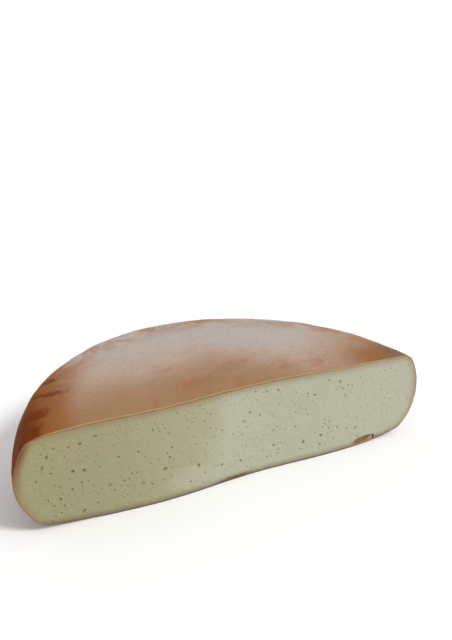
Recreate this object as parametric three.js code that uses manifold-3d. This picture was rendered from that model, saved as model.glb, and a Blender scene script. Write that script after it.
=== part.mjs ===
// A half wheel of raclette cheese, lying on one flat side with its cut face towards -Y.
// Millimetres, +Z up. The origin is on the floor, under the middle of the half wheel's box.
// The wheel is turned as a stack of rings, cut in two by a knife that wandered a little,
// and the eyes that the knife opened are sunk into the cut face.
import * as THREE from "three";
import { mergeVertices } from "three/addons/utils/BufferGeometryUtils.js";
import Module from "manifold-3d";

// Driving dimensions of the wheel
const RIM_HEIGHT = 68.4; // where the top turns over into the heel
const TOP_CROWN = 3.9; // rise of the top from its rim to its middle
const CROWN_POWER = 3; // how late that rise falls off towards the rim
const FLAT_RADIUS = 94; // flat of the underside, which the cheese rests on
const FOOT_RISE = 4.7; // lift of the underside from that flat to the foot of the heel
const EDGE_ROUND = 3.5; // rounding at the rim and at the foot

// The heel at either end of the cut: its reach along the cut and its height at the belly,
// then how far and how fast it draws in towards the rim and towards the foot
const RIGHT_HEEL = {
  reach: 153.7,
  bellyHeight: 37.5,
  topInset: 10.5,
  topPower: 2.07,
  footInset: 19.6,
  footPower: 2.47,
};
const LEFT_HEEL = {
  reach: 156.5,
  bellyHeight: 40,
  topInset: 10.2,
  topPower: 2,
  footInset: 19.6,
  footPower: 1.93,
};

// The wheel is a little longer across the cut than along it, and the knife passed behind its middle
const OVAL = 1.04;
const CUT_OFFSET = 15;

// The knife's path across the wheel: a wave that flattens out towards the right
const WAVE_LENGTH = 140;
const WAVE_START = -19; // along the cut, where the wave crosses the straight line between its ends
const WAVE_DEPTH = 1.4; // at the middle of the cut
const WAVE_TAPER = 0.006; // loss of depth for each millimetre to the right
const KNIFE_REACH = 200; // half the length of the cut that the knife makes
const KNIFE_STEP = 8;

// Eyes: the largest as [along the cut, height, width, tall, lean in degrees], and smaller ones in between
const LARGE_EYES = [
  [-134.7, 53.6, 1.8, 3, -12],
  [-138.2, 46.8, 1.4, 4.8, -25],
  [-142.3, 38.4, 1.5, 2.3, 0],
  [-130.3, 58.6, 1.8, 1.4, 0],
  [-114.1, 57.9, 2.8, 2, 50],
  [-104.4, 61, 3.4, 2, 30],
  [-119.6, 39.1, 2.8, 2.5, 0],
  [-112.7, 37.9, 3.1, 2.4, 35],
  [-114.4, 29.6, 2.2, 1.7, 0],
  [-120.7, 26.1, 1.9, 2, 0],
  [-128.4, 21.3, 1.9, 3, 15],
  [-114.1, 7.7, 3.6, 1.8, 45],
  [-105.6, 11.2, 2.7, 1.5, 15],
  [-97.1, 22.7, 3.4, 1.7, 30],
  [-90.4, 42.8, 2.1, 1.7, 0],
  [-75.2, 18.8, 3.1, 1.7, 0],
  [-69, 16.7, 2, 1.6, 0],
  [-59.5, 26, 3.2, 2.4, 10],
  [-56.3, 34.2, 2, 1.6, 0],
  [-41.2, 10, 2.2, 1.6, 0],
  [-34.8, 21.3, 2, 3.2, -8],
  [-34.5, 66.8, 2.2, 1.5, 10],
  [-16.5, 15.5, 2.2, 2.1, 0],
  [-1.4, 14.1, 2.2, 2.3, 0],
  [0.6, 45.4, 2.2, 1.7, 0],
  [24.4, 32.1, 2.2, 1.7, 15],
  [25.1, 19.7, 2.1, 2.3, 0],
  [49.7, 16, 2.2, 4.2, -25],
  [57, 54, 1.9, 1.9, 0],
  [64.6, 18.2, 2.4, 2.4, 0],
  [64.2, 10.8, 1.7, 1.6, 0],
  [77.9, 60.4, 3, 1.8, 40],
  [95.9, 17.1, 3.6, 1.6, 25],
];
const SMALL_EYES = { count: 50, narrowest: 1.1, widest: 1.8, end: 100, rindGap: 7, clearance: 2.6, seed: 20 };
const EYE_DEPTH = 0.9; // of an eye's full ball, as a share of its smaller width
const EYE_SINK = 0.05; // of the ball's middle below the cut face, as a share of that width

// A flake torn out just above the lower edge, with a slit beside it: the same five sizes, then the depth
const CHIP = [104, 4.6, 18, 4.6, 8, 7];
const CHIP_SLIT = [114.9, 4.2, 2, 4.8, 10, 6];

// Fineness of the faceted surface
const TURN_SEGMENTS = 104;
const UNDERSIDE_STEPS = 4;
const HEEL_STEPS = 13;
const TOP_STEPS = 8;

const wasm = await Module();
wasm.setup();
const { degToRad, lerp } = THREE.MathUtils;

// Evenly spaced shares from 0 to 1
const shares = (steps) => Array.from({ length: steps + 1 }, (_, i) => i / steps);

// How far along the cut the heel reaches at a height
function heelReach(z, heel) {
  if (z > heel.bellyHeight) {
    const climb = (z - heel.bellyHeight) / (RIM_HEIGHT - heel.bellyHeight);
    return heel.reach - heel.topInset * climb ** heel.topPower;
  }
  const drop = (heel.bellyHeight - z) / heel.bellyHeight;
  return heel.reach - heel.footInset * drop ** heel.footPower;
}

// The same from the wheel's axis
function heelRadius(z, heel) {
  return Math.hypot(heelReach(z, heel), CUT_OFFSET);
}

// Height of the top at a share of the way from its middle to the rim
function topHeight(share) {
  return RIM_HEIGHT + TOP_CROWN * (1 - share ** CROWN_POWER);
}

// The middle of a corner's rounding, between a point on either side of it
function roundedCorner(before, corner, after) {
  return corner.clone().multiplyScalar(2).add(before).add(after).divideScalar(4);
}

// One end of the cut as (distance from the axis, height), from the underside's middle to the top's middle
function profile(heel) {
  const foot = new THREE.Vector2(heelRadius(FOOT_RISE, heel), FOOT_RISE);
  const rim = new THREE.Vector2(heelRadius(RIM_HEIGHT, heel), RIM_HEIGHT);
  const flat = [new THREE.Vector2(0, 0), new THREE.Vector2(FLAT_RADIUS / 2, 0)];
  const underside = shares(UNDERSIDE_STEPS).map(
    (t) => new THREE.Vector2(lerp(FLAT_RADIUS, foot.x - EDGE_ROUND, t), FOOT_RISE * t ** 2),
  );
  const side = shares(HEEL_STEPS).map((t) => {
    const z = lerp(FOOT_RISE + EDGE_ROUND, RIM_HEIGHT - EDGE_ROUND, t);
    return new THREE.Vector2(heelRadius(z, heel), z);
  });
  const top = shares(TOP_STEPS).map(
    (t) => new THREE.Vector2((1 - t) * (rim.x - EDGE_ROUND), topHeight(1 - t)),
  );
  return [
    ...flat,
    ...underside,
    roundedCorner(underside.at(-1), foot, side[0]),
    ...side,
    roundedCorner(side.at(-1), rim, top[0]),
    ...top,
  ];
}

// A closed geometry as a solid that can be joined and cut
function solidOf(geometry) {
  const bare = new THREE.BufferGeometry().setAttribute("position", geometry.getAttribute("position"));
  const merged = mergeVertices(geometry.index ? bare.setIndex(geometry.index) : bare, 1e-3);
  return new wasm.Manifold(
    new wasm.Mesh({
      numProp: 3,
      vertProperties: merged.getAttribute("position").array,
      triVerts: new Uint32Array(merged.index.array),
    }),
  );
}

// A solid back as a geometry
function geometryOf(solid) {
  const mesh = solid.getMesh();
  const geometry = new THREE.BufferGeometry();
  geometry.setAttribute("position", new THREE.BufferAttribute(mesh.vertProperties, 3));
  geometry.setIndex(new THREE.BufferAttribute(mesh.triVerts, 1));
  return geometry;
}

// The whole wheel: each ring is a circle as wide as both ends of the cut together, moved to meet them
function wheelSolid() {
  const right = profile(RIGHT_HEEL);
  const left = profile(LEFT_HEEL);
  const rings = right.map((point, i) => point.clone().add(left[i]).divideScalar(2));
  const wheel = new THREE.LatheGeometry(rings, TURN_SEGMENTS);
  const position = wheel.getAttribute("position");
  for (let i = 0; i < position.count; i++) {
    const ring = i % rings.length;
    position.setX(i, position.getX(i) + (right[ring].x - left[ring].x) / 2);
  }
  wheel.rotateX(Math.PI / 2).translate(0, -CUT_OFFSET, 0).scale(1, OVAL, 1);
  return solidOf(wheel);
}

// How far the knife strayed from its straight line, away from the half's front
function cutDepth(x) {
  const turn = (2 * Math.PI * (x - WAVE_START)) / WAVE_LENGTH;
  return (WAVE_DEPTH - WAVE_TAPER * x) * Math.sin(turn);
}

// Everything in front of the knife's path
function knifeSolid() {
  const outline = new THREE.Shape();
  outline.moveTo(-KNIFE_REACH, -KNIFE_REACH);
  outline.lineTo(KNIFE_REACH, -KNIFE_REACH);
  for (let x = KNIFE_REACH; x >= -KNIFE_REACH; x -= KNIFE_STEP) outline.lineTo(x, cutDepth(x));
  const height = 2 * (RIM_HEIGHT + TOP_CROWN);
  const knife = new THREE.ExtrudeGeometry(outline, { depth: height, bevelEnabled: false });
  return solidOf(knife.translate(0, 0, -height / 4));
}

// A hollow sunk into the cut face
function hollow([x, z, width, tall, lean], depth = EYE_DEPTH * Math.min(width, tall)) {
  const ball = new THREE.IcosahedronGeometry(0.5, 1).scale(width, depth, tall);
  ball.rotateY(-degToRad(lean));
  return solidOf(ball.translate(x, cutDepth(x) + EYE_SINK * Math.min(width, tall), z));
}

// Numbers from 0 to 1 in an order that the seed fixes
function seededDraw(seed) {
  let state = seed;
  return () => {
    state = (Math.imul(state, 1664525) + 1013904223) >>> 0;
    return state / 2 ** 32;
  };
}

// True where a point of the cut face is far enough inside the rind
function insidePaste(x, z, gap) {
  const heel = x > 0 ? RIGHT_HEEL : LEFT_HEEL;
  const share = Math.min(1, Math.abs(x) / heelReach(RIM_HEIGHT, heel));
  return Math.abs(x) < heelReach(z, heel) - gap && z > gap && z < topHeight(share) - gap;
}

// Smaller eyes thrown over the cut face from the left as far as an end, clear of the rind and of each other
function scatteredEyes({ count, narrowest, widest, end, rindGap, clearance, seed }) {
  const draw = seededDraw(seed);
  const eyes = [];
  while (eyes.length < count) {
    const x = lerp(-LEFT_HEEL.reach, end, draw());
    const z = lerp(0, RIM_HEIGHT + TOP_CROWN, draw());
    const width = lerp(narrowest, widest, draw() ** 2);
    const tall = width * lerp(0.75, 1.2, draw());
    const lean = lerp(-40, 40, draw());
    const free = [...LARGE_EYES, ...eyes].every(([a, b]) => Math.hypot(a - x, b - z) > clearance + width);
    if (free && insidePaste(x, z, rindGap)) eyes.push([x, z, width, tall, lean]);
  }
  return eyes;
}

function halfWheelGeometry() {
  const eyes = [...LARGE_EYES, ...scatteredEyes(SMALL_EYES)].map((eye) => hollow(eye));
  const breaks = [CHIP, CHIP_SLIT].map(([x, z, width, tall, lean, depth]) =>
    hollow([x, z, width, tall, lean], depth),
  );
  const half = wheelSolid()
    .subtract(knifeSolid())
    .subtract(wasm.Manifold.union([...eyes, ...breaks]));
  const geometry = geometryOf(half);
  geometry.computeBoundingBox();
  const middle = geometry.boundingBox.getCenter(new THREE.Vector3());
  geometry.translate(-middle.x, -middle.y, -geometry.boundingBox.min.z);
  geometry.computeVertexNormals();
  return geometry;
}

const cheese = new THREE.MeshStandardMaterial({ color: 0xc8b08c, roughness: 0.62, metalness: 0 });
const halfWheel = new THREE.Mesh(halfWheelGeometry(), cheese);
halfWheel.name = "half_wheel";

const part = new THREE.Group();
part.add(halfWheel);
export default part;
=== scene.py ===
import math
import bpy
import bmesh
from mathutils import Matrix, Vector


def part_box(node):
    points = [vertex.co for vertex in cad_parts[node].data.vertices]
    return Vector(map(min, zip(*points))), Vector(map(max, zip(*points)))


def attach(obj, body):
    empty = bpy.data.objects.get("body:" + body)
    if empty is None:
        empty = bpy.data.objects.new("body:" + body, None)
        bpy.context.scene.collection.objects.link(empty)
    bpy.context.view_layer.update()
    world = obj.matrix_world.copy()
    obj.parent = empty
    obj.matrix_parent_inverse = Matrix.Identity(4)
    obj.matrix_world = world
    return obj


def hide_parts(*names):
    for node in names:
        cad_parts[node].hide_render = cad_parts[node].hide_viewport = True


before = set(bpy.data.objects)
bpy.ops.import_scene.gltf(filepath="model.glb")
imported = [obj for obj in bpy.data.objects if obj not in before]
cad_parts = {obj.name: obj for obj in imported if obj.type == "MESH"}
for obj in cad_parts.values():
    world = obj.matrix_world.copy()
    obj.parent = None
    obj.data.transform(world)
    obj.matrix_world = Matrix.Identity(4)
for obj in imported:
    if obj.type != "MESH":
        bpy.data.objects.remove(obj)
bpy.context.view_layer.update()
mm = 0.001
scene = bpy.context.scene


# the wheel, all in mm: the heel is different at either end of the cut
wheel = {
    "rimHeight": 68.4, "crown": 3.9, "crownPower": 3,
    "flatRadius": 94, "footRise": 4.7, "edgeRound": 3.5,
    "oval": 1.04, "cutOffset": 15,  # longer across the cut, and the knife passed behind the middle
    "right": {"reach": 153.7, "belly": 37.5, "topInset": 10.5, "topPower": 2.07,
              "footInset": 19.6, "footPower": 2.47},
    "left": {"reach": 156.5, "belly": 40, "topInset": 10.2, "topPower": 2,
             "footInset": 19.6, "footPower": 1.93},
    "turn": 120, "undersideSteps": 6, "heelSteps": 12, "topSteps": 18,
    "flatRings": (0.04, 0.35, 0.7), "lastRing": 0.98,  # shares of the flat underside and of the top
    "fineness": 2,  # subdivision levels
}


def heelReach(z, heel):  # along the cut
    if z > heel["belly"]:
        climb = (z - heel["belly"]) / (wheel["rimHeight"] - heel["belly"])
        return heel["reach"] - heel["topInset"] * climb ** heel["topPower"]
    drop = (heel["belly"] - z) / heel["belly"]
    return heel["reach"] - heel["footInset"] * drop ** heel["footPower"]


def heelRadius(z, heel):  # from the wheel's axis
    return math.hypot(heelReach(z, heel), wheel["cutOffset"])


# the middle of the cut on the floor, and the wheel's axis in front of it
boxLow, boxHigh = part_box("half_wheel")
widest = math.hypot((wheel["right"]["reach"] + wheel["left"]["reach"]) / 2, wheel["cutOffset"])
cutMiddle = Vector((boxLow.x + wheel["left"]["reach"] * mm,
                    boxHigh.y - (widest - wheel["cutOffset"]) * wheel["oval"] * mm, 0))
wheelAxis = cutMiddle - Vector((0, wheel["cutOffset"] * mm, 0))


def topHeight(share):  # share of the way from the middle to the rim
    return wheel["rimHeight"] + wheel["crown"] * (1 - share ** wheel["crownPower"])


def shares(steps):
    return [i / steps for i in range(steps + 1)]


def roundedCorner(before, corner, after):
    return (before + corner * 2 + after) / 4


def heelProfile(heel):  # (distance from the axis, height), from the underside round to the top
    rise, rim, soft = wheel["footRise"], wheel["rimHeight"], wheel["edgeRound"]
    footCorner = Vector((heelRadius(rise, heel), rise))
    rimCorner = Vector((heelRadius(rim, heel), rim))
    flat = [Vector((wheel["flatRadius"] * t, 0)) for t in wheel["flatRings"]]
    underside, side, top = [], [], []
    for t in shares(wheel["undersideSteps"]):
        reach = wheel["flatRadius"] * (1 - t) + (footCorner.x - soft) * t
        underside.append(Vector((reach, rise * t ** 2)))
    for t in shares(wheel["heelSteps"]):
        z = (rise + soft) * (1 - t) + (rim - soft) * t
        side.append(Vector((heelRadius(z, heel), z)))
    for t in shares(wheel["topSteps"])[:-1] + [wheel["lastRing"]]:
        top.append(Vector(((1 - t) * (rimCorner.x - soft), topHeight(1 - t))))
    lower = roundedCorner(underside[-1], footCorner, side[0])
    upper = roundedCorner(side[-1], rimCorner, top[0])
    return flat + underside + [lower] + side + [upper] + top


def editOnly(piece):
    if bpy.context.object and bpy.context.object.mode != "OBJECT":
        bpy.ops.object.mode_set(mode="OBJECT")
    bpy.ops.object.select_all(action="DESELECT")
    bpy.context.view_layer.objects.active = piece
    piece.select_set(True)


def applyModifier(piece, kind, **settings):
    editOnly(piece)
    modifier = piece.modifiers.new(kind.lower(), kind)
    for name, value in settings.items():
        setattr(modifier, name, value)
    bpy.ops.object.modifier_apply(modifier=modifier.name)


def cloudTexture(name, size, depth):
    texture = bpy.data.textures.new(name, "CLOUDS")
    texture.noise_scale = size
    texture.noise_depth = depth
    return texture


def roughen(piece, name, relief, detail=1, **settings):
    size, stand = relief
    applyModifier(piece, "DISPLACE", texture=cloudTexture(name, size * mm, detail), strength=stand * mm,
                  mid_level=0.5, texture_coords="LOCAL", **settings)


def turnWheel():
    rings = list(zip(heelProfile(wheel["right"]), heelProfile(wheel["left"])))
    rings = [((a.x + b.x) / 2 * mm, (a.x - b.x) / 2 * mm, a.y * mm) for a, b in rings]
    radius, shift, z = rings[0]
    bpy.ops.object.select_all(action="DESELECT")
    bpy.ops.mesh.primitive_circle_add(vertices=wheel["turn"], radius=radius, fill_type="NGON",
                                      location=wheelAxis + Vector((shift, 0, z)))
    piece = bpy.context.object
    piece.name = "cheese_half"
    bpy.ops.object.transform_apply(location=True, rotation=True, scale=True)
    bpy.ops.object.mode_set(mode="EDIT")
    bpy.ops.mesh.select_mode(type="EDGE")
    bpy.ops.mesh.select_all(action="SELECT")
    for (r0, s0, z0), (r1, s1, z1) in zip(rings, rings[1:]):
        bpy.ops.mesh.extrude_edges_move(TRANSFORM_OT_translate={"value": (s1 - s0, 0, z1 - z0)})
        bpy.ops.transform.resize(value=(r1 / r0, r1 / r0, 1),
                                 center_override=wheelAxis + Vector((s1, 0, z1)))
    bpy.ops.mesh.edge_face_add()
    bpy.ops.mesh.select_all(action="SELECT")
    bpy.ops.transform.resize(value=(1, wheel["oval"], 1), center_override=cutMiddle)
    bpy.ops.mesh.normals_make_consistent(inside=False)
    bpy.ops.object.mode_set(mode="OBJECT")
    applyModifier(piece, "SUBSURF", levels=wheel["fineness"], render_levels=wheel["fineness"])
    return piece


# unevenness of the rind, mm: the size of its swellings and how far they stand out, clear of the flat foot
rindRelief = {"slump": (70, 1.5), "lumps": (16, 0.7), "grain": (4.5, 0.35), "above": 4}


def roughenRind(piece):
    editOnly(piece)
    bpy.ops.object.mode_set(mode="EDIT")
    bpy.ops.mesh.select_mode(type="VERT")
    bpy.ops.mesh.select_all(action="DESELECT")
    mesh = bmesh.from_edit_mesh(piece.data)
    for vert in mesh.verts:
        vert.select_set(vert.co.z > rindRelief["above"] * mm)
    bmesh.update_edit_mesh(piece.data)
    piece.vertex_groups.new(name="rind")
    bpy.ops.object.vertex_group_assign()
    bpy.ops.object.mode_set(mode="OBJECT")
    for name in ("slump", "lumps", "grain"):
        roughen(piece, "rind_" + name, rindRelief[name], 2, vertex_group="rind")
    piece.vertex_groups.clear()


# the knife's path, mm: a wave that flattens out to the right
knife = {"waveLength": 140, "waveStart": -19, "depth": 1.4, "taper": 0.006, "reach": 168, "step": 4,
         "low": -10, "high": 86, "rows": 40, "thick": 200, "drag": (11, 0.35)}


def cutDepth(x):
    turn = 2 * math.pi * (x - knife["waveStart"]) / knife["waveLength"]
    return (knife["depth"] - knife["taper"] * x) * math.sin(turn)


def makeKnife():
    tall = knife["high"] - knife["low"]
    x = -knife["reach"]
    bpy.ops.object.select_all(action="DESELECT")
    bpy.ops.mesh.primitive_grid_add(x_subdivisions=1, y_subdivisions=knife["rows"], size=1,
                                    rotation=(math.pi / 2, 0, 0))
    piece = bpy.context.object
    piece.name = "knife_path"
    piece.scale = (knife["step"] * mm, tall * mm, 1)
    middle = Vector((x - knife["step"] / 2, cutDepth(x), tall / 2 + knife["low"]))
    piece.location = cutMiddle + middle * mm
    bpy.ops.object.transform_apply(location=True, rotation=True, scale=True)
    bpy.ops.object.mode_set(mode="EDIT")
    bpy.ops.mesh.select_mode(type="EDGE")
    bpy.ops.mesh.select_all(action="DESELECT")
    mesh = bmesh.from_edit_mesh(piece.data)
    for edge in mesh.edges:
        edge.select_set(all(vert.co.x > cutMiddle.x + (x - knife["step"] / 2) * mm for vert in edge.verts))
    bmesh.update_edit_mesh(piece.data)
    while x < knife["reach"]:
        stride = Vector((knife["step"], cutDepth(x + knife["step"]) - cutDepth(x), 0)) * mm
        bpy.ops.mesh.extrude_edges_move(TRANSFORM_OT_translate={"value": stride})
        x += knife["step"]
    bpy.ops.mesh.select_all(action="SELECT")
    bpy.ops.mesh.normals_make_consistent(inside=False)
    bpy.ops.object.mode_set(mode="OBJECT")
    roughen(piece, "knife_drag", knife["drag"], direction="Y")
    facing = piece.data.polygons[0].normal.y
    applyModifier(piece, "SOLIDIFY", thickness=knife["thick"] * mm, offset=1 if facing < 0 else -1,
                  use_even_offset=False)
    return piece


# the eyes, mm: the large ones as (along the cut, height, width, tall, lean in degrees), then two scatters
eyes = {
    "large": [
        (-134.7, 53.6, 1.8, 3, -12), (-138.2, 46.8, 1.4, 4.8, -25), (-142.3, 38.4, 1.5, 2.3, 0),
        (-130.3, 58.6, 1.8, 1.4, 0), (-114.1, 57.9, 2.8, 2, 50), (-104.4, 61, 3.4, 2, 30),
        (-119.6, 39.1, 2.8, 2.5, 0), (-112.7, 37.9, 3.1, 2.4, 35), (-114.4, 29.6, 2.2, 1.7, 0),
        (-120.7, 26.1, 1.9, 2, 0), (-128.4, 21.3, 1.9, 3, 15), (-114.1, 7.7, 3.6, 1.8, 45),
        (-105.6, 11.2, 2.7, 1.5, 15), (-97.1, 22.7, 3.4, 1.7, 30), (-90.4, 42.8, 2.1, 1.7, 0),
        (-75.2, 18.8, 3.1, 1.7, 0), (-69, 16.7, 2, 1.6, 0), (-59.5, 26, 3.2, 2.4, 10),
        (-56.3, 34.2, 2, 1.6, 0), (-41.2, 10, 2.2, 1.6, 0), (-34.8, 21.3, 2, 3.2, -8),
        (-34.5, 66.8, 2.2, 1.5, 10), (-16.5, 15.5, 2.2, 2.1, 0), (-1.4, 14.1, 2.2, 2.3, 0),
        (0.6, 45.4, 2.2, 1.7, 0), (24.4, 32.1, 2.2, 1.7, 15), (25.1, 19.7, 2.1, 2.3, 0),
        (49.7, 16, 2.2, 4.2, -25), (57, 54, 1.9, 1.9, 0), (64.6, 18.2, 2.4, 2.4, 0),
        (64.2, 10.8, 1.7, 1.6, 0), (77.9, 60.4, 3, 1.8, 40), (95.9, 17.1, 3.6, 1.6, 25),
    ],
    "small": {"count": 50, "narrowest": 1.1, "widest": 1.8, "end": 100,
              "rindGap": 7, "clearance": 2.6, "seed": 20},
    "tiny": {"count": 420, "narrowest": 0.7, "widest": 1.5, "end": 150,
             "rindGap": 5, "clearance": 1.2, "seed": 5, "crowd": (-1.4, 1)},
    "depth": 0.9, "sink": 0.05,  # shares of an eye's smaller width
    "ragged": (1.6, 0.6),
}
# every eye lies in a shallow dish: its ball's width in eyes, depth in mm, how far out it sits and how far aside
dish = {"wide": 2.2, "deep": 1.6, "out": 0.36, "aside": 0.3, "tinyDeep": 0.8, "ragged": 0.3, "tinyRagged": 0.2}
# the flake broken from the lower edge and the slit beside it: the same five sizes, then depth and sink
brokenFlake = {
    "scoop": (104, 4.6, 18, 4.6, 8, 7, 0.2),
    "slit": (114.9, 4.2, 2, 4.8, 10, 6, 0.1),
    "torn": (3.5, 1.2),
}


def seededDraw(seed):
    state = seed
    while True:
        state = (state * 1664525 + 1013904223) % 2 ** 32
        yield state / 2 ** 32


def between(low, high, share):
    return low + (high - low) * share


def insidePaste(x, z, gap):
    heel = wheel["right"] if x > 0 else wheel["left"]
    share = min(1, abs(x) / heelReach(wheel["rimHeight"], heel))
    return abs(x) < heelReach(z, heel) - gap and gap < z < topHeight(share) - gap


def crowding(x, z):  # high where the eyes gather
    return math.sin(x / 12 + 2 * math.sin(z / 9)) + math.sin(z / 5 - x / 31)


def scatterEyes(taken, count, narrowest, widest, end, rindGap, clearance, seed, crowd=None):
    draw = seededDraw(seed)
    found = []
    while len(found) < count:
        x = between(-wheel["left"]["reach"], end, next(draw))
        z = between(0, wheel["rimHeight"] + wheel["crown"], next(draw))
        width = between(narrowest, widest, next(draw) ** 2)
        tall = width * between(0.75, 1.2, next(draw))
        lean = between(-40, 40, next(draw))
        free = all(math.hypot(e[0] - x, e[1] - z) > clearance + width for e in taken + found)
        sparse = crowd and crowding(x, z) < between(*crowd, next(draw))
        if free and not sparse and insidePaste(x, z, rindGap):
            found.append((x, z, width, tall, lean))
    return found


def dishesRound(hollows, deep):
    wide, aside, sink = dish["wide"], dish["aside"], -deep * dish["out"]
    return [(x - width * aside, z - tall * aside, width * wide, tall * wide, lean, deep, sink)
            for x, z, width, tall, lean in hollows]


def raggedness(share):
    size, stand = eyes["ragged"]
    return size, stand * share


def addHollows(name, hollows, fineness, ragged):
    bpy.ops.object.select_all(action="DESELECT")
    piece = None
    for x, z, width, tall, lean, *given in hollows:
        narrow = min(width, tall)
        deep, sink = given or (eyes["depth"] * narrow, eyes["sink"] * narrow)
        place = cutMiddle + Vector((x, cutDepth(x) + sink, z)) * mm
        bpy.ops.mesh.primitive_ico_sphere_add(subdivisions=fineness, radius=0.5 * mm, location=place,
                                              rotation=(0, -math.radians(lean), 0), scale=(width, deep, tall))
        if piece is None:  # the others are added to this one's mesh
            piece = bpy.context.object
            piece.name = name
            bpy.ops.object.transform_apply(location=True, rotation=True, scale=True)
            bpy.ops.object.mode_set(mode="EDIT")
    bpy.ops.object.mode_set(mode="OBJECT")
    roughen(piece, name, ragged)
    return piece


def cutAway(piece, cutter):
    applyModifier(piece, "BOOLEAN", operation="DIFFERENCE", solver="MANIFOLD", object=cutter)
    editOnly(cutter)
    bpy.ops.object.delete()


class Strand:
    # a socket in a material: sums on it become Math nodes
    def __init__(self, tree, socket=None):
        self.tree, self.socket = tree, socket

    def node(self, kind, settings=(), values=(), out=0):
        made = self.tree.nodes.new(kind)
        for name, value in dict(settings).items():
            setattr(made, name, value)
        for name, value in dict(values).items():
            if isinstance(value, Strand):
                self.tree.links.new(value.socket, made.inputs[name])
            else:
                made.inputs[name].default_value = value
        return Strand(self.tree, made.outputs[out])

    def sum(self, operation, *terms):
        return self.node("ShaderNodeMath", {"operation": operation}, enumerate(terms))

    def __add__(self, other):
        return self.sum("ADD", self, other)

    def __radd__(self, other):
        return self.sum("ADD", other, self)

    def __sub__(self, other):
        return self.sum("SUBTRACT", self, other)

    def __rsub__(self, other):
        return self.sum("SUBTRACT", other, self)

    def __mul__(self, other):
        return self.sum("MULTIPLY", self, other)

    def __rmul__(self, other):
        return self.sum("MULTIPLY", other, self)

    def __truediv__(self, other):
        return self.sum("DIVIDE", self, other)

    def __rtruediv__(self, other):
        return self.sum("DIVIDE", other, self)

    def __pow__(self, other):
        return self.sum("POWER", self, other)

    def __gt__(self, other):
        return self.sum("GREATER_THAN", self, other)

    def __abs__(self):
        return self.sum("ABSOLUTE", self)

    def atLeast(self, other):
        return self.sum("MAXIMUM", self, other)

    def atMost(self, other):
        return self.sum("MINIMUM", self, other)

    def sine(self):
        return self.sum("SINE", self)

    def root(self):
        return self.sum("SQRT", self)

    def fade(self, start, end):  # 0 at start, 1 at end, soft in between
        return self.node("ShaderNodeMapRange", {"interpolation_type": "SMOOTHSTEP"},
                         {"Value": self, "From Min": start, "From Max": end})

    def noise(self, size, detail=3, rough=0.5, warp=0.0):  # size in mm
        return self.node("ShaderNodeTexNoise", {}, {"Vector": self, "Scale": 1000 / size, "Detail": detail,
                                                    "Roughness": rough, "Distortion": warp})

    def lay(self, shade, share):  # a colour laid over this one
        return self.node("ShaderNodeMix", {"data_type": "RGBA"}, {0: share, 6: self, 7: shade}, 2)

    def shade(self, value):  # darker or lighter
        return self.node("ShaderNodeHueSaturation", {}, {"Value": value, "Color": self})


def paint(red, green, blue):  # a colour as a picture shows it, to linear light
    shades = [c / 255 for c in (red, green, blue)]
    return (*[c / 12.92 if c <= 0.04045 else ((c + 0.055) / 1.055) ** 2.4 for c in shades], 1)


def startMaterial(name):  # with its place in mm from the middle of the cut
    material = bpy.data.materials.new(name)
    material.use_nodes = True
    tree = material.node_tree
    spot = Strand(tree).node("ShaderNodeTexCoord", out=3)
    local = spot.node("ShaderNodeVectorMath", {"operation": "SUBTRACT"}, {0: spot, 1: cutMiddle})
    x, y, z = [spot.node("ShaderNodeSeparateXYZ", {}, {0: local}, i) * 1000 for i in range(3)]
    return material, tree.nodes["Principled BSDF"], spot, x, y, z


def link(strand, shader, socket):
    strand.tree.links.new(strand.socket, shader.inputs[socket])


def knifeDepth(x):  # the knife's path again, for the shader
    turn = (x - knife["waveStart"]) * (2 * math.pi / knife["waveLength"])
    return (knife["depth"] - knife["taper"] * x) * turn.sine()


def heelLine(z, heel):  # the heel's reach again, for the shader
    climb = ((z - heel["belly"]) / (wheel["rimHeight"] - heel["belly"])).atLeast(0)
    drop = ((heel["belly"] - z) / heel["belly"]).atLeast(0)
    over = heel["topInset"] * climb ** heel["topPower"]
    under = heel["footInset"] * drop ** heel["footPower"]
    return heel["reach"] - over - under


# the cut paste: colours, then places and depths in mm, along the cut and up it
paste = {
    # left, middle and right: the paste is darker and yellower at the left and lighter at the right; this is
    # partly its own tone and partly painted shade and painted light from the cut's slope
    "left": paint(144, 139, 103), "middle": paint(155, 152, 122), "right": paint(166, 165, 144),
    "pale": paint(172, 171, 152), "stain": paint(140, 110, 70), "rind": paint(106, 56, 14),
    # foot: darker along the bottom edge, partly the underside's rind and partly painted shade where the cheese
    # sits on the floor
    "line": paint(122, 88, 52), "foot": paint(92, 80, 56), "smear": paint(90, 58, 30),
    # eye: an olive tint in the eye hollows, partly their own colour and partly painted shade that deepens with
    # depth
    "eye": paint(136, 122, 66), "flake": paint(140, 112, 66),
    "topStain": 7.5, "footStain": 6.5, "endStain": 8, "leftBand": 7.5, "footRun": 46,
    "paleSpot": (-40, 13), "paleSize": (24, 12), "smearAt": -6, "smearReach": 17,
    "flakeStart": (92, 95), "flakeEnd": (117, 120), "flakeTop": (8, 10),
    "roughness": 0.5, "specular": 0.25, "grain": 0.6,
    "glow": 0.12, "glowDepth": 4, "glowTint": (1.0, 0.75, 0.4),
}


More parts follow.
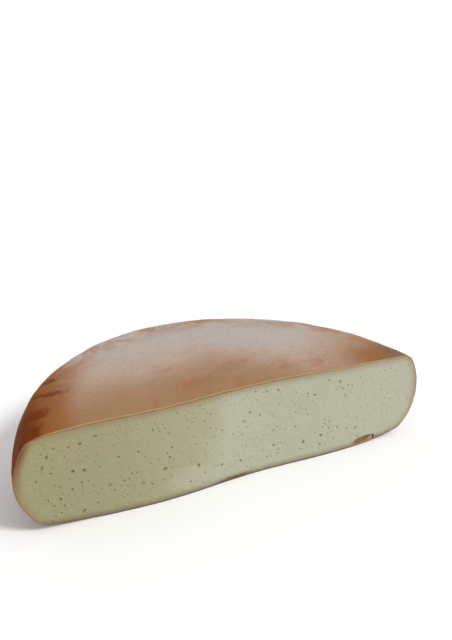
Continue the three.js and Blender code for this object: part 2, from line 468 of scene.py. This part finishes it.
def pasteMaterial(name, inEyes):
    material, shader, spot, x, y, z = startMaterial(name)
    isRight = x > 0
    end = heelLine(z, wheel["right"]) * isRight + heelLine(z, wheel["left"]) * (1 - isRight) - abs(x)
    share = (abs(x) / heelReach(wheel["rimHeight"], wheel["left"])).atMost(1)
    top = wheel["rimHeight"] + wheel["crown"] * (1 - share ** wheel["crownPower"]) - z
    lift = ((abs(x) - wheel["flatRadius"]) / paste["footRun"]).atLeast(0)
    foot = z - wheel["footRise"] * lift ** 2
    depth = y - knifeDepth(x)
    patch = spot.noise(40, 3, 0.5)
    ragged = (spot.noise(7, 4, 0.65) - 0.5) * 2
    mottle = spot.noise(2.5, 4, 0.7)

    colour = spot.node("ShaderNodeMix", {"data_type": "RGBA"},
                       {0: x.fade(-150, -20), 6: paste["left"], 7: paste["middle"]}, 2)
    # painted light: the paste lightens right of a soft line where the cut's slope turns towards the light, and
    # is painted in shade left of it
    paintedLightToRight = (x + 18 + (70 - z) * 0.35 + (patch - 0.5) * 50).fade(-14, 16)
    colour = colour.lay(paste["right"], paintedLightToRight)
    aside, above = [(place - spotAt) / size for place, spotAt, size
                    in zip((x, z), paste["paleSpot"], paste["paleSize"])]
    palePatch = (1 - aside ** 2 - above ** 2 + ragged * 0.6).fade(0, 0.9)
    colour = colour.lay(paste["pale"], palePatch * 0.35)
    colour = colour.shade(0.93 + mottle * 0.14)
    leftEnd = (1 - isRight) * z.fade(22, 62)
    endStain = 1 - (end + ragged).fade(-1, paste["endStain"] + leftEnd * 2.5)
    colour = colour.lay(paste["stain"], endStain * (0.7 + leftEnd * 0.15))
    colour = colour.lay(paste["rind"], (1 - (end + ragged * 0.6).fade(0.5, paste["leftBand"])) * leftEnd)
    colour = colour.lay(paste["stain"], (1 - (top + ragged * 0.7).fade(-0.5, paste["topStain"])) * 0.7)
    # a dark band along the bottom edge: partly the underside's rind, partly painted shade at the floor
    colour = colour.lay(paste["foot"], (1 - (foot + ragged * 0.7).fade(-1, paste["footStain"])) * 0.75)
    smear = (1 - ((x - paste["smearAt"]) / paste["smearReach"]) ** 2).atLeast(0)
    colour = colour.lay(paste["smear"], smear * (1 - (foot + ragged).fade(1.5, 4.5)))
    edge = end.atMost(top).atMost(foot)
    colour = colour.lay(paste["line"], (1 - (edge + ragged * 0.2).fade(0.5, 1.6)) * 0.75)
    # a thin dark line at the bottom edge: partly rind, partly painted shade where the cheese meets the floor
    colour = colour.lay(paste["foot"], (1 - (foot + ragged * 0.2).fade(0.4, 2)) * 0.6)
    inFlake = (x.fade(*paste["flakeStart"]) - x.fade(*paste["flakeEnd"])) * (1 - z.fade(*paste["flakeTop"]))
    if inEyes:
        # painted shade: the eye hollows darken and turn olive with depth, less so on the lit right side
        colour = colour.lay(paste["eye"], depth.fade(0.2, 0.9) * (0.7 - paintedLightToRight * 0.15))
        colour = colour.lay(paste["flake"], inFlake * depth.fade(0.3, 1) * 0.9)
    else:
        crumbs = spot.noise(1.1, 2, 0.6).fade(0.58, 0.7)
        colour = colour.lay(paste["pale"], crumbs * (0.25 + palePatch * 0.6))
        colour = colour.lay(paste["flake"], inFlake * (1 - (foot + ragged).fade(2, 4.5)) * 0.8)
    link(colour, shader, "Base Color")
    link(paste["roughness"] + (mottle - 0.5) * 0.2, shader, "Roughness")
    grain = spot.noise(1.6, 4, 0.6) + spot.noise(5, 3, 0.55) * 2
    bump = spot.node("ShaderNodeBump", {}, {"Strength": 0.5, "Distance": paste["grain"] * mm, "Height": grain})
    link(bump, shader, "Normal")
    shader.inputs["Specular IOR Level"].default_value = paste["specular"]
    shader.inputs["Subsurface Weight"].default_value = paste["glow"]
    shader.inputs["Subsurface Radius"].default_value = paste["glowTint"]
    shader.inputs["Subsurface Scale"].default_value = paste["glowDepth"] * mm
    return material


# the washed rind: colours, then smears as (along the cut, behind it, length, width, turn in degrees)
rind = {
    "tan": paint(154, 121, 90), "orange": paint(158, 112, 80), "bloom": paint(180, 157, 141),
    "grey": paint(178, 172, 166), "heel": paint(160, 122, 101), "heelBloom": paint(178, 153, 145),
    # the left heel's dark brown is partly its own colour and partly painted shade
    "brown": paint(140, 86, 42), "darkBrownAndShade": paint(106, 50, 14), "streak": paint(104, 40, 8),
    "lip": paint(186, 154, 114), "red": paint(152, 100, 72), "mauve": paint(122, 98, 88),
    "streaks": [(-117, 68, 8, 4, 10), (-121, 50, 16, 4, -10), (-133, 26, 11, 7, 20), (-138, 8, 7, 7, 0)],
    "smears": [(43, 19, 9, 10, 60), (7, 33, 18, 9, 20), (-38, 49, 7, 3, 10),
               (-24, 22, 24, 8, 8), (68, 16, 10, 6, 30)],
    "cloth": 2.6, "clothLean": (0.94, 0.34),  # the print's pitch in mm and its lie on the top
    "roughness": 0.74, "specular": 0.05, "grain": 0.4,
}


def smeared(x, y, ragged, places):  # 1 inside the smears, fraying out
    covered = 0
    for along, behind, length, width, turn in places:
        c, s = math.cos(math.radians(turn)), math.sin(math.radians(turn))
        long = ((x - along) * c + (y - behind) * s) / length
        wide = ((y - behind) * c - (x - along) * s) / width
        covered = (1 - long * long - wide * wide + ragged).fade(-0.3, 1.5) + covered
    return covered.atMost(1)


def rindMaterial():
    material, shader, spot, x, y, z = startMaterial("washed_rind")
    fromCut = y - knifeDepth(x)
    across = y / wheel["oval"] + wheel["cutOffset"]
    out = (x * x + across * across).root()  # from the wheel's axis
    onTop = z.fade(63, 67.5)
    flat = onTop.atLeast(1 - z.fade(3, 7))
    wide = spot.noise(70, 3, 0.5)
    patch = spot.noise(24, 5, 0.62, 0.8)
    fine = spot.noise(2.6, 4, 0.7)
    specks = spot.noise(0.8, 2, 0.6)
    ragged = (spot.noise(6, 5, 0.7, 0.6) - 0.5) * 5
    turn = 2 * math.pi / rind["cloth"]
    c, s = rind["clothLean"]
    warp = ((x * c + y * s + wide * 6) * turn).sine()
    weft = ((y * c - x * s + patch * 3) * turn).sine()
    cloth = warp * weft

    colour = spot.node("ShaderNodeMix", {"data_type": "RGBA"},
                       {0: patch.fade(0.4, 0.62) * 0.7, 6: rind["tan"], 7: rind["orange"]}, 2)
    behind = fromCut + x.atLeast(0).atMost(60) * 0.5 - (x - 75).atLeast(0) * 0.7
    behind = behind + (wide - 0.5) * 50 + (patch - 0.5) * 30
    colour = colour.lay(rind["bloom"], behind.fade(6, 80) * (0.95 + (fine - 0.5) * 0.6))
    colour = colour.lay(rind["grey"], behind.fade(50, 105) * (0.75 + (specks - 0.5) * 1.2 + cloth * 0.2))
    rim = out.fade(112, 144) * (patch + (wide - 0.5) * 0.5 + (specks - 0.5) * 0.3).fade(0.34, 0.62)
    colour = colour.lay(rind["orange"], rim * 0.85)
    colour = colour.lay(rind["red"], smeared(x, fromCut, ragged, rind["smears"]) * 0.45)
    leftEnd = (1 - x.fade(-122, -82)) * (out + ragged * 2).fade(108, 130)
    rightEnd = (x + ragged * 3).fade(84, 114) * (1 - fromCut.fade(10, 40))
    colour = colour.lay(rind["brown"], leftEnd.atLeast(rightEnd * 0.8) * 0.9)
    colour = colour.lay(rind["mauve"], (x + ragged * 2).fade(119, 130) * (1 - fromCut.fade(10, 36)) * 0.6)

    heelPatch = (patch + (wide - 0.5) * 0.6).fade(0.44, 0.7)
    heel = spot.node("ShaderNodeMix", {"data_type": "RGBA"},
                     {0: heelPatch * 0.7, 6: rind["heel"], 7: rind["orange"]}, 2)
    powder = ((1 - patch) * 0.8 + (specks - 0.5) * 0.5 + x / 900 + 0.08).fade(0.4, 0.72)
    heel = heel.lay(rind["heelBloom"], powder * 0.8)
    colour = colour.lay(heel, 1 - flat)
    nearCut = 1 - (fromCut + ragged * 4).fade(25, 85)
    # the left heel near the cut: dark brown, partly its own colour and partly painted shade on the side turned
    # away from the light
    colour = colour.lay(rind["darkBrownAndShade"], (1 - x.fade(-148, -110)) * nearCut * (out + ragged).fade(130, 141))
    colour = colour.lay(rind["streak"], smeared(x, fromCut, ragged, rind["streaks"]) * z.fade(40, 60) * 0.8)
    colour = colour.shade(0.82 + fine * 0.36)
    lip = (1 - (fromCut + (fine - 0.5) * 0.8).fade(0.6, 1.6)) * onTop * x.fade(-146, -128)
    colour = colour.lay(rind["lip"], lip * 0.85)
    link(colour, shader, "Base Color")
    link(rind["roughness"] + (fine - 0.5) * 0.2, shader, "Roughness")
    shader.inputs["Specular IOR Level"].default_value = rind["specular"]
    height = fine + specks * 0.4 + cloth * flat * behind.fade(40, 100) * 0.4
    bump = spot.node("ShaderNodeBump", {}, {"Strength": 0.5, "Distance": rind["grain"] * mm, "Height": height})
    link(bump, shader, "Normal")
    return material


print("turning the wheel")
cheese = turnWheel()
roughenRind(cheese)
skins = [rindMaterial(), pasteMaterial("cut_paste", 0), pasteMaterial("eye_walls", 1)]
for skin in skins:
    cheese.data.materials.append(skin)

print("cutting it in half")
small = scatterEyes(eyes["large"], **eyes["small"])
larger = eyes["large"] + small
tiny = scatterEyes(larger, **eyes["tiny"])
cutters = [
    makeKnife(),
    addHollows("dishes", dishesRound(larger, dish["deep"]), 3, raggedness(dish["ragged"])),
    addHollows("tiny_dishes", dishesRound(tiny, dish["tinyDeep"]), 2, raggedness(dish["tinyRagged"])),
    addHollows("large_eyes", larger, 3, raggedness(1)),
    addHollows("tiny_eyes", tiny, 2, raggedness(0.5)),
    addHollows("broken_flake", [brokenFlake["scoop"], brokenFlake["slit"]], 4, brokenFlake["torn"]),
]
for cutter in cutters:
    for skin in skins:
        cutter.data.materials.append(skin)
    for face in cutter.data.polygons:
        face.material_index = 1 if cutter.name == "knife_path" else 2
    cutAway(cheese, cutter)
editOnly(cheese)
bpy.ops.object.shade_smooth_by_angle(angle=math.radians(40))
print("half wheel:", len(cheese.data.polygons), "faces")
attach(cheese, "root")
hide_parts("half_wheel")

# the floor, the light and the camera
studio = {
    "floor": paint(250, 250, 250), "floorSize": 60, "backdropRadius": 29, "backdropHeight": 8,
    "sky": (1.0, 1.0, 1.0, 1), "skyStrength": 0.62,
    "sun": (0.45, -0.55, 0.70), "sunStrength": 2.0, "sunSpread": 16,
    "camera": (-0.1979, -0.3577, 0.2909),
    "forward": (0.4191, 0.8231, -0.3832), "up": (0.1565, 0.3503, 0.9235),
    "lens": 38.52,
}
bpy.ops.mesh.primitive_plane_add(size=studio["floorSize"], location=(0, 0, 0))
floor = bpy.context.object
floor.name = "floor"
tall = studio["backdropHeight"]
bpy.ops.mesh.primitive_cylinder_add(vertices=64, radius=studio["backdropRadius"], depth=tall,
                                    end_fill_type="NOTHING", location=(0, 0, tall / 2))
backdrop = bpy.context.object
backdrop.name = "backdrop"
for screen, glow in ((floor, 0), (backdrop, 1)):
    look = bpy.data.materials.new(screen.name)
    look.use_nodes = True
    shader = look.node_tree.nodes["Principled BSDF"]
    shader.inputs["Base Color"].default_value = studio["floor"] if glow == 0 else (0, 0, 0, 1)
    shader.inputs["Roughness"].default_value = 0.9
    shader.inputs["Specular IOR Level"].default_value = 0
    shader.inputs["Emission Color"].default_value = studio["sky"]
    shader.inputs["Emission Strength"].default_value = glow
    screen.data.materials.append(look)
bpy.ops.object.light_add(type="SUN", location=Vector(studio["sun"]) * 2)
lamp = bpy.context.object
lamp.data.energy, lamp.data.angle = studio["sunStrength"], math.radians(studio["sunSpread"])
lamp.rotation_euler = Vector(studio["sun"]).to_track_quat("Z", "Y").to_euler()
scene.world = bpy.data.worlds.new("studio")
scene.world.use_nodes = True
sky = scene.world.node_tree.nodes["Background"]
sky.inputs["Color"].default_value = studio["sky"]
sky.inputs["Strength"].default_value = studio["skyStrength"]
forward, up = Vector(studio["forward"]), Vector(studio["up"])
side = forward.cross(up).normalized()
up = side.cross(forward).normalized()
bpy.ops.object.camera_add(location=cutMiddle + Vector(studio["camera"]))
camera = bpy.context.object
camera.rotation_euler = Matrix((side, up, -forward.normalized())).transposed().to_euler()
camera.data.lens = studio["lens"]
camera.data.clip_start = 0.01
scene.camera = camera
scene.view_settings.view_transform = "Standard"
print("studio set")
